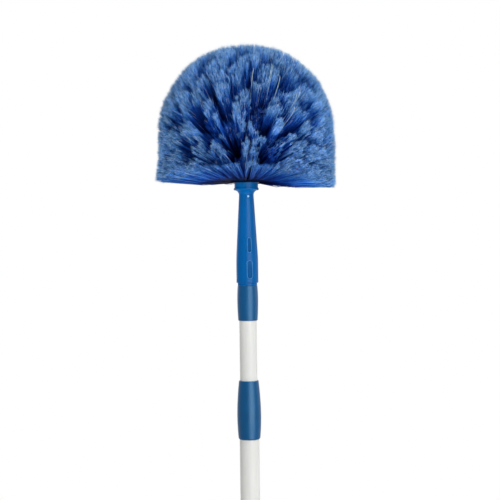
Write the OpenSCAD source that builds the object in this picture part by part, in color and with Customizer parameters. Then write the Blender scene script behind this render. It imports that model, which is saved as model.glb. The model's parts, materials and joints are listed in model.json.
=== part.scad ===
// Cobweb brush on a telescopic pole with a twist collar.
// The origin is the middle of the bare stretch of the outer tube, on the pole's axis.
// +Z points to the head.

/* [Tubes] */
// Outer diameter of the inner tube
inner_tube_d = 22; // [20:0.5:26]
// Wall of the inner tube
inner_tube_wall = 0.9; // [0.7:0.1:1.2]
// Wall of the outer tube
outer_tube_wall = 0.9; // [0.7:0.1:1.2]
// Gap between the two tubes, all round
tube_gap = 0.6; // [0.5:0.1:1]
// Length of the outer tube's full thickness, where the hand holds it
hand_hold_len = 420; // [300:10:900]
// Length of inner tube that shows between the collar and the grip
bare_inner_len = 76.2; // [40:0.1:110]
// Space left below the guide bush when the pole is pushed right in
bottom_space = 12; // [4:1:30]
// Radial clearance of pieces that run on each other
run_gap = 0.05; // [0.03:0.01:0.08]
// Radial clearance of pieces that are pressed or glued together
seat_gap = 0.03; // [0.02:0.01:0.04]
// Distance between pieces that come apart or turn by hand
part_gap = 0.3; // [0.2:0.05:0.4]

/* [Twist collar] */
// Length of outer tube that reaches into the collar
tube_in_collar = 30; // [20:1:45]
// Length of the thread sleeve above the mouth of the outer tube
sleeve_land_len = 20; // [12:1:30]
// How much thinner the outer tube is outside, where the thread sleeve sits on it
neck_step = 0.2; // [0.2:0.05:0.3]
// Wall of the thread sleeve round the outer tube
sleeve_wall = 0.75; // [0.7:0.05:1]
// Radial clearance between the collar and the thread sleeve
thread_gap = 0.1; // [0.08:0.01:0.15]
// How far the collar rises when it is turned open
collar_lift = 1.5; // [1:0.1:2]
// Height of the split clamp ring
clamp_ring_h = 16; // [10:1:24]
// How much narrower the clamp ring is at its top
clamp_ring_taper = 0.9; // [0.6:0.05:1]
// Width of the slit in the clamp ring
clamp_slit = 2.5; // [1.5:0.1:4]
// Height of the collar above the clamp ring
collar_nose_len = 8; // [4:0.5:14]
// Wall of the collar at its narrow top
collar_nose_wall = 1.2; // [0.9:0.05:2]
// Wall of the collar at its widest place
collar_belly_wall = 2.05; // [1.6:0.05:4]
// Wall of the collar at its lower edge
collar_rim_wall = 0.75; // [0.6:0.05:1.2]
// Height of the widest place above the collar's lower edge
collar_belly_z = 30; // [20:1:40]
// Height of the lip that keeps the collar on its sleeve
collar_lip_h = 3; // [2.5:0.5:5]
// Radius of the collar's rounded lower edge
collar_edge = 2; // [1:0.1:2.4]

/* [Pole tip] */
// Length of the upper grip
grip_len = 44.8; // [30:0.1:80]
// Wall of the grip at its top
grip_top_wall = 1.6; // [1.2:0.1:3]
// Wall of the grip at its widest place
grip_belly_wall = 2.3; // [1.7:0.1:4]
// Wall of the grip at its lower edge
grip_foot_wall = 1.4; // [1.1:0.1:3]
// Distance of the grip's widest place from its top
grip_belly_z = 17; // [10:1:28]
// Radius of the grip's rounded edges
grip_edge = 0.9; // [0.4:0.1:1]
// Height of the tip's shoulder ring
shoulder_h = 2.9; // [2:0.1:6]
// How far the shoulder ring stands out from the inner tube
shoulder_wall = 1.35; // [1:0.05:2]
// Length of the tip's plug inside the inner tube
tip_plug_len = 38; // [25:1:60]
// Length of the tapered spigot that holds the head
spigot_len = 60; // [40:1:75]
// Diameter of the spigot at its foot
spigot_foot_d = 20.2; // [18:0.1:21]
// Diameter of the spigot at its end
spigot_end_d = 16.2; // [14:0.1:16.8]
// Radial clearance of the head on the spigot
taper_gap = 0.1; // [0.06:0.01:0.14]
// Diameter of the cross pins
pin_d = 3; // [2:0.5:4]

/* [Guide bush and end cap] */
// Length of the guide bush outside the inner tube
bush_len = 50; // [30:1:70]
// Thickness of the guide bush below the tube's end
bush_floor = 4; // [3:0.5:8]
// Length of the guide bush's plug inside the tube
bush_plug_len = 16; // [12:1:24]
// Length of the end cap's plug inside the outer tube
cap_plug_len = 18; // [14:1:30]
// Height of the cap's round foot below the tube
cap_foot_h = 6; // [4:0.5:12]
// Distance of the hanging hole below the cap's round foot
eye_drop = 11; // [9:0.5:20]
// Diameter of the hanging hole
eye_d = 8; // [5:0.5:9]
// Outer diameter of the hanging eye
eye_outer_d = 20; // [16:0.5:22]
// Thickness of the hanging eye
eye_thick = 10; // [6:0.5:14]

/* [Socket] */
// Length of the socket
socket_len = 127; // [120:1:160]
// Diameter of the socket at its lower end
socket_d = 27.9; // [27:0.1:34]
// Height of the socket's straight lower stretch
socket_straight = 24; // [20:1:34]
// Height of the bend from the straight stretch to the cone
socket_ease_h = 15; // [8:1:24]
// Diameter of the socket at its neck
neck_d = 18.7; // [17:0.1:22]
// Radius of the fillet from the neck to the lip
neck_fillet = 6.4; // [4:0.1:8]
// Height of the socket's lip
lip_h = 2.7; // [2:0.1:5]
// Diameter of the ring above the lip
top_ring_d = 30; // [28.8:0.1:31]
// Height of the ring above the lip
top_ring_h = 6.3; // [5:0.1:9]
// Radius of the socket's rounded lower edge
socket_edge = 1; // [0.5:0.1:1.5]
// Diameter of the shaft that lets the screw up the neck
screw_shaft_d = 12; // [10:0.5:12.5]
// Depth of the cup that takes the core's foot
cup_depth = 9; // [6:0.5:12]
// Diameter of the cup
cup_d = 23.7; // [20:0.1:25]
// Thickness of the web under the cup
web_h = 4; // [3:0.5:6]
// Width of the moulded recesses on the socket's front
recess_w = 6; // [4:0.5:8]
// Depth of the recesses
recess_depth = 1.2; // [0.6:0.1:1.6]
// Length of the lower recess
low_recess_len = 22; // [12:1:26]
// Height of the lower recess's middle
low_recess_z = 17; // [15:1:20]
// Width of the upper recess
high_recess_w = 4.5; // [3:0.5:6]
// Length of the upper recess
high_recess_len = 18; // [10:1:22]
// Height of the upper recess's middle
high_recess_z = 48; // [42:1:56]
// Turn of the recesses from the front
recess_turn = 14; // [-30:1:30]

/* [Tuft block] */
// Diameter of the tuft block
block_d = 32; // [30:0.5:40]
// Height of the block's straight side
block_side = 34; // [30:1:50]
// Diameter of the core post
post_d = 16; // [12:0.5:18]
// How far the core post reaches into the crown
post_in_crown = 3; // [2:0.5:4]
// Diameter of the core screw
screw_d = 4; // [3:0.5:5]
// Length of the core screw
screw_len = 26; // [16:1:30]
// Diameter of the screw's head
screw_head_d = 8; // [6:0.5:9]
// Height of the screw's head
screw_head_h = 3; // [2:0.5:4]
// Thickness of the washer
washer_h = 1; // [0.8:0.1:2]
// Diameter of the washer
washer_d = 10; // [8:0.5:9.5]

/* [Bristles] */
// Radius of the brush across the tips
brush_r = 112; // [80:1:140]
// Height of the brush's straight side
brush_side = 66; // [40:1:90]
// How far the lowest tips hang below the tuft block's foot
brush_drop = 4; // [0:1:10]
// Distance between tufts at their tips
tip_pitch = 16.6; // [16.4:0.1:20]
// Rows of tufts in each of the five rings
ring_rows = 2; // [1:1:2]
// Rows of tufts in the crown
crown_rows = 4; // [2:1:4]
// Width of a tuft at its root
root_w = 1.5; // [1:0.1:1.8]
// Width of a tuft at its tip
tip_w = 5; // [3:0.1:7]
// Thickness of a tuft at its tip
tip_t = 2.4; // [1.6:0.1:4]
// How deep a tuft is set in the block
root_depth = 2; // [1:0.5:2.5]
// How much the tufts differ in length
tip_ragged = 2.5; // [0:0.5:6]
// How far the lowest tips rise at the front and back
rim_lift = 17; // [0:1:25]

/* [Hidden] */

round_fn = 96;
small_fn = 32;
arc_steps = 6;
barrel_steps = 9;

// Radii of the tubes and of what runs on them
inner_r = inner_tube_d / 2;
inner_bore_r = inner_r - inner_tube_wall;
outer_bore_r = inner_r + tube_gap;
outer_r = outer_bore_r + outer_tube_wall;
tube_neck_r = outer_r - neck_step;
sleeve_r = tube_neck_r + seat_gap + sleeve_wall;
collar_bore_r = sleeve_r + thread_gap;
collar_hole_r = inner_r + part_gap;
collar_lip_r = outer_r + part_gap;

// Heights, from the bottom end of the outer tube to the foot of the tuft block
z_tube_end = -hand_hold_len / 2;
z_neck = hand_hold_len / 2;
z_collar = z_neck + part_gap;
z_skirt = z_collar + collar_lip_h + collar_lift + part_gap;
z_mouth = z_collar + tube_in_collar;
z_sleeve_pin = (z_skirt + z_mouth) / 2;
z_land = z_mouth + sleeve_land_len;
z_ring_top = z_land + clamp_ring_h;
z_nose = z_ring_top + part_gap;
z_collar_top = z_nose + collar_nose_len;
z_grip = z_collar_top + bare_inner_len;
z_shoulder = z_grip + grip_len;
z_socket = z_shoulder + shoulder_h + part_gap;
z_block = z_socket + socket_len;

// The pole is pushed in until the grip is close above the opened collar
push_in = bare_inner_len - collar_lift - 2 * part_gap;
z_inner_end = z_tube_end + cap_plug_len + bottom_space + bush_floor + push_in;

// Proportions of the screw, the recess in its head and its holes
screw_pilot_gap = 0.05;
screw_pilot_spare = 2;
drive_slot_w = 1.1;
drive_slot_len = 4.6;
drive_slot_depth = 1.6;
web_hole_gap = 0.25;
z_web = z_block - cup_depth - web_h;

// The block of tufts: five rings and a crown on the core post
ring_count = 5;
ring_row_count = ring_count * ring_rows;
row_count = ring_row_count + crown_rows;
post_r = post_d / 2;
block_r = block_d / 2;

// Share of the outline up to which the rim's rise reaches, and the turns that spread the ragged lengths
lift_reach = 0.45;
rag_turn = 137.5;
rag_row_turn = 7 * rag_turn;

// How far a cutting solid runs past what it cuts, and joined solids lap
lap = 1;
// How far the cap stays inside the outer tube's radius
cap_inset = 0.2;

// Points on an arc of radius r round c, from angle a0 to angle a1
function arc(c, r, a0, a1, n = arc_steps) =
    [for (i = [0:n]) let (a = a0 + (a1 - a0) * i / n) c + r * [cos(a), sin(a)]];

// Points on a barrel's side between [r0, z0] and its widest place [r1, z1], which the next points take up
function swell(r0, z0, r1, z1, power, n = barrel_steps) =
    [for (i = [1:n - 1]) let (t = 1 - i / n) [r1 + (r0 - r1) * pow(t, power), z0 + (z1 - z0) * i / n]];

// Points from the widest place [r0, z0] towards [r1, z1], which the next points take up
function narrow(r0, z0, r1, z1, power, n = barrel_steps) =
    [for (i = [0:n - 1]) let (t = i / n) [r0 + (r1 - r0) * pow(t, power), z0 + (z1 - z0) * t]];

module turned(points) {
  rotate_extrude($fn = round_fn) polygon(points);
}

// A tube or disc between two radii
module ring(r_in, r_out, z0, z1) {
  translate([0, 0, z0]) difference() {
    cylinder(r = r_out, h = z1 - z0, $fn = round_fn);
    translate([0, 0, -lap]) cylinder(r = r_in, h = z1 - z0 + 2 * lap, $fn = round_fn);
  }
}

// A round bar across the pole's axis, along X
module cross_bar(r, half_len, z) {
  translate([-half_len, 0, z]) rotate([0, 90, 0]) cylinder(r = r, h = 2 * half_len, $fn = small_fn);
}

// A recess with round ends, from radius r outwards, its middle at height z
module recess(r, z, w, len) {
  reach = 10;
  rotate([0, 0, recess_turn]) translate([0, -r, z]) rotate([90, 0, 0]) {
    for (end = [-1, 1]) translate([0, end * (len - w) / 2, 0]) cylinder(d = w, h = reach, $fn = small_fn);
    translate([-w / 2, -(len - w) / 2, 0]) cube([w, len - w, reach]);
  }
}

// Point of an outline at share s of its length: straight up the side, then round the dome to the top
function outline_at(s, side, r, z0) =
    let (a = s * (side + PI / 2 * r), turn = (a - side) / r * 180 / PI)
    a < side ? [r, z0 + a] : [r * cos(turn), z0 + side + r * sin(turn)];

function row_share(row) = (row + 0.5) / row_count;
function row_tufts(row) =
    max(3, round(2 * PI * outline_at(row_share(row), brush_side, brush_r, 0)[0] / tip_pitch));

// Rise of a tip: full at the front and back of the lowest row, and nothing at the sides or above lift_reach
function tip_rise(s, a) = rim_lift * pow(sin(a), 2) * pow(max(0, 1 - s / lift_reach), 2);

// One tuft: a four-sided bar that widens to its tip, at turn a, between two points [radius, height]
module tuft(a, from, to) {
  out = [cos(a), sin(a), 0];
  side = [-sin(a), cos(a), 0];
  along = (to - from) / norm(to - from);
  up = [-along[1] * cos(a), -along[1] * sin(a), along[0]];
  root = from - along * root_depth;
  corners = [[-1, -1], [1, -1], [1, 1], [-1, 1]] / 2;
  foot = [for (c = corners) root[0] * out + [0, 0, root[1]] + c[0] * root_w * side + c[1] * root_w * up];
  head = [for (c = corners) to[0] * out + [0, 0, to[1]] + c[0] * tip_w * side + c[1] * tip_t * up];
  faces = [[0, 1, 2], [0, 2, 3], [4, 6, 5], [4, 7, 6], [0, 4, 5], [0, 5, 1],
           [1, 5, 6], [1, 6, 2], [2, 6, 7], [2, 7, 3], [3, 7, 4], [3, 4, 0]];
  polyhedron(concat(foot, head), faces);
}

// All tufts of one row, turned half a pitch from the row below
module tuft_row(row) {
  s = row_share(row);
  n = row_tufts(row);
  from = outline_at(s, block_side, block_r, 0);
  to = outline_at(s, brush_side, brush_r, -brush_drop);
  for (i = [0:n - 1]) {
    a = 360 / n * (i + (row % 2) / 2);
    rag = tip_ragged * sin(i * rag_turn + row * rag_row_turn);
    tip = to + [0, tip_rise(s, a)];
    tuft(a, from, tip + rag * (tip - from) / norm(tip - from));
  }
}

// Height on the block where row number row begins
function row_edge(row) = outline_at(row / row_count, block_side, block_r, 0)[1];

// The block's solid outline: a post with a domed top
module block_shape() {
  cylinder(r = block_r, h = block_side, $fn = round_fn);
  translate([0, 0, block_side]) sphere(r = block_r, $fn = round_fn);
}

// One slice of the block, from row first to row first + rows, with its tufts
module tuft_slice(first, rows) {
  color("cornflowerblue") translate([0, 0, z_block]) {
    difference() {
      intersection() {
        block_shape();
        slice_z = row_edge(first);
        slice_h = row_edge(first + rows) - slice_z;
        translate([-block_r, -block_r, slice_z]) cube([block_d, block_d, slice_h]);
      }
      post_hole = row_edge(ring_row_count) + post_in_crown + seat_gap;
      translate([0, 0, -lap]) cylinder(r = post_r + seat_gap, h = post_hole + lap, $fn = round_fn);
    }
    for (row = [first:first + rows - 1]) tuft_row(row);
  }
}

module tuft_ring_1() { tuft_slice(0, ring_rows); }
module tuft_ring_2() { tuft_slice(ring_rows, ring_rows); }
module tuft_ring_3() { tuft_slice(2 * ring_rows, ring_rows); }
module tuft_ring_4() { tuft_slice(3 * ring_rows, ring_rows); }
module tuft_ring_5() { tuft_slice(4 * ring_rows, ring_rows); }
module tuft_crown() { tuft_slice(ring_row_count, crown_rows); }

// The core: a foot in the socket's cup and a post through the slices, with the screw's pilot hole
module tuft_core() {
  post_top = z_block + row_edge(ring_row_count) + post_in_crown;
  pilot_top = z_web - washer_h + screw_len + screw_pilot_spare;
  color("steelblue") difference() {
    union() {
      translate([0, 0, z_block - cup_depth])
        cylinder(r = cup_d / 2 - seat_gap, h = cup_depth, $fn = round_fn);
      translate([0, 0, z_block - lap]) cylinder(r = post_r, h = post_top - z_block + lap, $fn = round_fn);
    }
    translate([0, 0, z_web])
      cylinder(r = screw_d / 2 + screw_pilot_gap, h = pilot_top - z_web, $fn = small_fn);
  }
}

// The screw that pulls the core into the cup, put in from below
module core_screw() {
  z_head = z_web - washer_h - screw_head_h;
  color("silver") difference() {
    union() {
      translate([0, 0, z_head]) cylinder(d = screw_head_d, h = screw_head_h, $fn = small_fn);
      translate([0, 0, z_head]) cylinder(d = screw_d, h = screw_head_h + screw_len, $fn = small_fn);
    }
    for (turn = [0, 90]) rotate([0, 0, turn])
      translate([-drive_slot_len / 2, -drive_slot_w / 2, z_head - lap])
        cube([drive_slot_len, drive_slot_w, drive_slot_depth + lap]);
  }
}

module core_washer() {
  color("gainsboro") ring(screw_d / 2 + web_hole_gap, washer_d / 2, z_web - washer_h, z_web);
}

// Heights of the socket's lip and of the start of the fillet under it
socket_z_lip = socket_len - top_ring_h - lip_h;
socket_z_fillet = socket_z_lip - neck_fillet;

// Radius of the socket at a height: straight, then a parabola that runs into the cone up to the neck
function socket_r_at(z) =
    let (r = socket_d / 2, drop = r - neck_d / 2, cone_h = socket_z_fillet - socket_straight - socket_ease_h,
         ease_drop = drop * socket_ease_h / (2 * cone_h + socket_ease_h),
         t = (z - socket_straight) / socket_ease_h)
    t < 0 ? r : t < 1 ? r - ease_drop * t * t
    : r - ease_drop - (drop - ease_drop) * (z - socket_straight - socket_ease_h) / cone_h;

// The socket's outside, from its lower edge to the top of its ring
function socket_outline() =
    let (r = socket_d / 2, lip_r = neck_d / 2 + neck_fillet, z_lip = socket_z_lip, edge = 0.4, stand = 0.2)
    concat(arc([r - socket_edge, socket_edge], socket_edge, -90, 0),
           [for (i = [0:arc_steps]) let (z = socket_straight + socket_ease_h * i / arc_steps)
               [socket_r_at(z), z]],
           arc([lip_r, socket_z_fillet], neck_fillet, 180, 90, 2 * arc_steps),
           [[lip_r + stand, z_lip + edge], [lip_r + stand, z_lip + lip_h - edge],
            [lip_r - stand, z_lip + lip_h],
            [top_ring_d / 2, z_lip + lip_h], [top_ring_d / 2, socket_len]]);

// The socket's inside, from the cup down to the mouth of the taper
function socket_inside() =
    let (step = 4, chamfer = 0.5,
         foot_r = spigot_foot_d / 2 + taper_gap, end_r = spigot_end_d / 2 + taper_gap,
         hole_r = screw_d / 2 + web_hole_gap, z_cup = socket_len - cup_depth, z_web_foot = z_cup - web_h)
    [[cup_d / 2, socket_len], [cup_d / 2, z_cup], [hole_r, z_cup], [hole_r, z_web_foot],
     [screw_shaft_d / 2, z_web_foot], [screw_shaft_d / 2, spigot_len + step],
     [end_r, spigot_len + step / 2], [end_r, spigot_len], [foot_r, chamfer], [foot_r + chamfer, 0]];

module socket() {
  color([0.09, 0.36, 0.65]) translate([0, 0, z_socket]) difference() {
    turned(concat(socket_outline(), socket_inside()));
    recess(socket_r_at(low_recess_z) - recess_depth, low_recess_z, recess_w, low_recess_len);
    recess(socket_r_at(high_recess_z) - recess_depth, high_recess_z, high_recess_w, high_recess_len);
  }
}

// The pole tip: a plug in the inner tube, a shoulder ring on its end and the tapered spigot
module pole_tip() {
  chamfer = 1;
  nose = 1.5;
  plug_r = inner_bore_r - seat_gap;
  foot_r = spigot_foot_d / 2;
  end_r = spigot_end_d / 2;
  z_spigot = shoulder_h + part_gap;
  color([0.1, 0.38, 0.66]) translate([0, 0, z_shoulder]) difference() {
    turned([[0, -tip_plug_len], [plug_r - chamfer, -tip_plug_len], [plug_r, chamfer - tip_plug_len],
            [plug_r, 0],
            [inner_r + shoulder_wall, 0], [inner_r + shoulder_wall, shoulder_h], [foot_r, shoulder_h],
            [foot_r, z_spigot], [end_r, z_spigot + spigot_len - nose],
            [end_r - nose, z_spigot + spigot_len], [0, z_spigot + spigot_len]]);
    cross_bar(pin_d / 2 + seat_gap, inner_r, -tip_plug_len / 2);
  }
}

module tip_pin() {
  color("silver") cross_bar(pin_d / 2, inner_r - part_gap, z_shoulder - tip_plug_len / 2);
}

// The upper grip: a barrel glued round the inner tube under the shoulder ring
module tip_grip() {
  top_r = inner_r + grip_top_wall;
  belly_r = inner_r + grip_belly_wall;
  foot_r = inner_r + grip_foot_wall;
  z_belly = grip_len - grip_belly_z;
  bore_r = inner_r + seat_gap;
  color([0.17, 0.38, 0.56]) translate([0, 0, z_grip])
    turned(concat([[bore_r, 0]], arc([foot_r - grip_edge, grip_edge], grip_edge, -90, 0),
                  swell(foot_r, grip_edge, belly_r, z_belly, 2),
                  narrow(belly_r, z_belly, top_r, grip_len - grip_edge, 2),
                  arc([top_r - grip_edge, grip_len - grip_edge], grip_edge, 0, 90),
                  [[bore_r, grip_len]]));
}

module inner_tube() {
  color([0.9, 0.9, 0.9]) difference() {
    ring(inner_bore_r, inner_r, z_inner_end, z_shoulder);
    cross_bar(pin_d / 2 + seat_gap, outer_r, z_shoulder - tip_plug_len / 2);
    cross_bar(pin_d / 2 + seat_gap, outer_r, z_inner_end + bush_plug_len / 2);
  }
}

// The guide bush: a thin sleeve and a plug on the inner tube's lower end, running in the outer tube
module guide_bush() {
  skin_r = outer_bore_r - run_gap;
  plug_r = inner_bore_r - seat_gap;
  color([0.82, 0.82, 0.8]) difference() {
    turned([[0, z_inner_end - bush_floor], [skin_r, z_inner_end - bush_floor],
            [skin_r, z_inner_end + bush_len], [inner_r + seat_gap, z_inner_end + bush_len],
            [inner_r + seat_gap, z_inner_end],
            [plug_r, z_inner_end], [plug_r, z_inner_end + bush_plug_len], [0, z_inner_end + bush_plug_len]]);
    cross_bar(pin_d / 2 + seat_gap, outer_r, z_inner_end + bush_plug_len / 2);
  }
}

module bush_pin() {
  color("silver") cross_bar(pin_d / 2, inner_r, z_inner_end + bush_plug_len / 2);
}

// Radius of the clamp ring's cone, and of the cone in the collar, at a height above the land
function clamp_cone_r(z) = sleeve_r - clamp_ring_taper * z / clamp_ring_h;

// The twist collar: pear-shaped outside, a lip at its foot, a threaded bore, a cone and a nose
module lock_collar() {
  rim_r = collar_bore_r + collar_rim_wall;
  belly_r = collar_bore_r + collar_belly_wall;
  nose_r = collar_hole_r + collar_nose_wall;
  nose_edge = 0.5;
  nose_bend = 1.8;
  lip_flat = 0.2;
  edge_start = -acos(max(0, (collar_lip_r + lip_flat - rim_r + collar_edge) / collar_edge));
  len = z_collar_top - z_collar;
  cone_z = z_land - z_collar;
  ring_z = z_ring_top - z_collar;
  nose_z = z_nose - z_collar;
  cone_top_r = clamp_cone_r(clamp_ring_h) + thread_gap;
  color([0.13, 0.38, 0.6]) translate([0, 0, z_collar])
    turned(concat([[collar_lip_r, 0]], arc([rim_r - collar_edge, collar_edge], collar_edge, edge_start, 0),
                  swell(rim_r, collar_edge, belly_r, collar_belly_z, 2),
                  narrow(belly_r, collar_belly_z, nose_r, len - nose_edge, nose_bend),
                  [[nose_r, len - nose_edge], [nose_r - nose_edge, len], [collar_hole_r, len],
                   [collar_hole_r, nose_z], [cone_top_r, nose_z], [cone_top_r, ring_z],
                   [collar_bore_r, cone_z], [collar_bore_r, collar_lip_h], [collar_lip_r, collar_lip_h]]));
}

// The clamp ring: a split cone on the thread sleeve that the collar squeezes on the inner tube
module clamp_ring() {
  color([0.85, 0.85, 0.83]) difference() {
    turned([[inner_r + run_gap, z_land], [clamp_cone_r(0), z_land],
            [clamp_cone_r(clamp_ring_h), z_ring_top], [inner_r + run_gap, z_ring_top]]);
    translate([0, -clamp_slit / 2, z_land - lap]) cube([2 * inner_r, clamp_slit, clamp_ring_h + 2 * lap]);
  }
}

// The thread sleeve: a skirt pressed on the outer tube's mouth and a land that guides the inner tube
module thread_sleeve() {
  color([0.8, 0.82, 0.84]) difference() {
    turned([[tube_neck_r + seat_gap, z_skirt], [sleeve_r, z_skirt], [sleeve_r, z_land],
            [inner_r + run_gap, z_land], [inner_r + run_gap, z_mouth], [tube_neck_r + seat_gap, z_mouth]]);
    cross_bar(pin_d / 2 + seat_gap, 2 * outer_r, z_sleeve_pin);
  }
}

// Two short pins through the sleeve's skirt and the tube's wall, clear of the inner tube
module sleeve_pins() {
  color("silver") for (side = [0, 180]) rotate([0, 0, side]) difference() {
    translate([outer_bore_r, 0, z_sleeve_pin]) rotate([0, 90, 0])
      cylinder(r = pin_d / 2, h = sleeve_r - outer_bore_r, $fn = small_fn);
    cylinder(r = outer_bore_r, h = z_collar_top, $fn = round_fn);
  }
}

// The outer tube, with a slightly thinner neck inside the collar
module outer_tube() {
  color([0.9, 0.9, 0.9]) difference() {
    turned([[outer_bore_r, z_tube_end], [outer_r, z_tube_end], [outer_r, z_neck],
            [tube_neck_r, z_neck], [tube_neck_r, z_mouth], [outer_bore_r, z_mouth]]);
    cross_bar(pin_d / 2 + seat_gap, 2 * outer_r, z_sleeve_pin);
    cross_bar(pin_d / 2 + seat_gap, 2 * outer_r, z_tube_end + cap_plug_len / 2);
  }
}

// The end cap: a plug in the outer tube, a round foot and a flat eye for a hook
module end_cap() {
  cap_r = outer_r - cap_inset;
  z_foot = z_tube_end - cap_foot_h;
  z_eye = z_foot - eye_drop;
  color([0.13, 0.38, 0.6]) difference() {
    union() {
      translate([0, 0, z_foot]) cylinder(r = cap_r, h = cap_foot_h, $fn = round_fn);
      translate([0, 0, z_tube_end - lap])
        cylinder(r = outer_bore_r - seat_gap, h = cap_plug_len + lap, $fn = round_fn);
      intersection() {
        translate([0, 0, z_eye - eye_outer_d]) cylinder(r = cap_r, h = 2 * eye_outer_d, $fn = round_fn);
        union() {
          translate([0, eye_thick / 2, z_eye]) rotate([90, 0, 0])
            cylinder(d = eye_outer_d, h = eye_thick, $fn = round_fn);
          translate([-eye_outer_d / 2, -eye_thick / 2, z_eye]) cube([eye_outer_d, eye_thick, eye_drop + lap]);
        }
      }
    }
    translate([0, eye_thick, z_eye]) rotate([90, 0, 0])
      cylinder(d = eye_d, h = 2 * eye_thick, $fn = round_fn);
    cross_bar(pin_d / 2 + seat_gap, outer_r, z_tube_end + cap_plug_len / 2);
  }
}

module cap_pin() {
  color("silver") cross_bar(pin_d / 2, outer_r - cap_inset, z_tube_end + cap_plug_len / 2);
}

tuft_ring_1();
tuft_ring_2();
tuft_ring_3();
tuft_ring_4();
tuft_ring_5();
tuft_crown();
tuft_core();
core_screw();
core_washer();
socket();
pole_tip();
tip_pin();
tip_grip();
inner_tube();
guide_bush();
bush_pin();
lock_collar();
clamp_ring();
thread_sleeve();
sleeve_pins();
outer_tube();
end_cap();
cap_pin();
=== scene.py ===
# %% [markdown]
# # A cobweb brush on a telescopic pole
# The hard pieces (tubes, collar, grip, socket, cap, pins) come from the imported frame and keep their
# shapes. This script gives them their finishes, grows the bristles as thousands of filaments, adds
# the fine rims and the pip of the socket, and sets up a plain studio. Lengths are in metres, +Z
# points up the pole and -Y is the front.

import json
import math

import bpy
import numpy as np
from mathutils import Matrix, Vector


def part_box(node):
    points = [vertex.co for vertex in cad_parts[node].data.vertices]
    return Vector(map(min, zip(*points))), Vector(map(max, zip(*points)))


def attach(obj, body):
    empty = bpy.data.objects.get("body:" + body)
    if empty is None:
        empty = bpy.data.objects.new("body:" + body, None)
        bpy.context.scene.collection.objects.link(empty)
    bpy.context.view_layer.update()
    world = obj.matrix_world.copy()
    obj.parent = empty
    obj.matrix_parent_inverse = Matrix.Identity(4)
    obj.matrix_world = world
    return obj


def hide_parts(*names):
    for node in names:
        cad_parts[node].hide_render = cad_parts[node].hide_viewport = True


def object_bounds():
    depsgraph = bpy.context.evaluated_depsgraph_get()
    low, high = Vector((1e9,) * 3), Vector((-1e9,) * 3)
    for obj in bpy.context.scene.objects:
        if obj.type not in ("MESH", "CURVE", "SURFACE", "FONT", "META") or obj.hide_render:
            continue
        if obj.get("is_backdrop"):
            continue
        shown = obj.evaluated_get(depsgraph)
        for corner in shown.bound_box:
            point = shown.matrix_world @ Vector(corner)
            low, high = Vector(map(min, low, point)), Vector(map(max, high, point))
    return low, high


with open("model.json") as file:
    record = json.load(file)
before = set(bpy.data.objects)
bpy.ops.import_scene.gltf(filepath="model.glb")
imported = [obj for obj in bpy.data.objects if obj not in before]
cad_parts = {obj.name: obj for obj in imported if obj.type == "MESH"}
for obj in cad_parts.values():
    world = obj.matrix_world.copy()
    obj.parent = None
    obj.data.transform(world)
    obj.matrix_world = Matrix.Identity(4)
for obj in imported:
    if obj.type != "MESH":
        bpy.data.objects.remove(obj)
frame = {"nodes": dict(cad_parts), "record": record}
cad_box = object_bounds()
scene = bpy.context.scene
node_slot = {part["node"]: part["material_slot"] for part in frame["record"]["subparts"]}

# %% [markdown]
# ## The camera
# The photo was taken level with the upper half of the pole, from far enough that the tubes hardly
# taper. A long lens at 1.4 m gives that. The pole leans a little to the left in the picture, so the
# camera is rolled by that small angle instead of the pole being tilted. It stands a few
# millimetres to the right, which puts the pole a few pixels left of the middle.

# %% Camera
eye_height = 0.4505
eye_distance = 1.4
eye_right = 0.0038
roll = math.radians(0.77)

camera_data = bpy.data.cameras.new("photo_view")
camera_data.lens = 79.2
camera_data.sensor_width = 36
camera = bpy.data.objects.new("photo_view", camera_data)
scene.collection.objects.link(camera)
looking_along_y = Matrix.Rotation(math.radians(90), 4, "X")
camera.matrix_world = (
    Matrix.Translation((eye_right, -eye_distance, eye_height))
    @ looking_along_y
    @ Matrix.Rotation(-roll, 4, "Z")
)
scene.camera = camera
print("camera", round(camera_data.lens, 1), "mm at", tuple(round(v, 3) for v in camera.location))

# %% [markdown]
# ## Helpers for meshes
# Every new piece is worked out as whole numpy arrays and handed to Blender in one go. A mesh gets
# its points, its triangles and, where its material reads them, named numbers per point. That is
# quicker than bmesh for a million triangles, and the formulas stay in sight.


# %% Mesh helpers
def mesh_piece(name, points, triangles, values):
    """A mesh object at the origin from points (n, 3), triangles (m, 3) and named values per point."""
    mesh = bpy.data.meshes.new(name)
    mesh.vertices.add(len(points))
    mesh.vertices.foreach_set("co", points.astype(np.float32).ravel())
    mesh.loops.add(triangles.size)
    mesh.loops.foreach_set("vertex_index", triangles.astype(np.int32).ravel())
    mesh.polygons.add(len(triangles))
    mesh.polygons.foreach_set("loop_start", np.arange(0, triangles.size, 3, dtype=np.int32))
    mesh.polygons.foreach_set("use_smooth", np.ones(len(triangles), bool))
    for key, value in values.items():
        attribute = mesh.attributes.new(key, "FLOAT", "POINT")
        attribute.data.foreach_set("value", value.astype(np.float32))
    mesh.update(calc_edges=True)
    mesh.validate()
    piece = bpy.data.objects.new(name, mesh)
    scene.collection.objects.link(piece)
    return piece


def unit(vectors):
    """Vectors scaled to length one along their last axis."""
    return vectors / np.maximum(np.linalg.norm(vectors, axis=-1, keepdims=True), 1e-12)


def quads(a, b, c, d):
    """Two triangles for each four-sided face with the corners a, b, c and d."""
    a, b, c, d = np.broadcast_arrays(a, b, c, d)
    return np.concatenate([np.stack(half, -1).reshape(-1, 3) for half in ((a, b, c), (a, c, d))])


def end_heights(points):
    """The lowest and the highest Z of points."""
    return float(points[:, 2].min()), float(points[:, 2].max())


print("a four-sided face takes", len(quads(0, 1, 2, 3)), "triangles")

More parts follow.
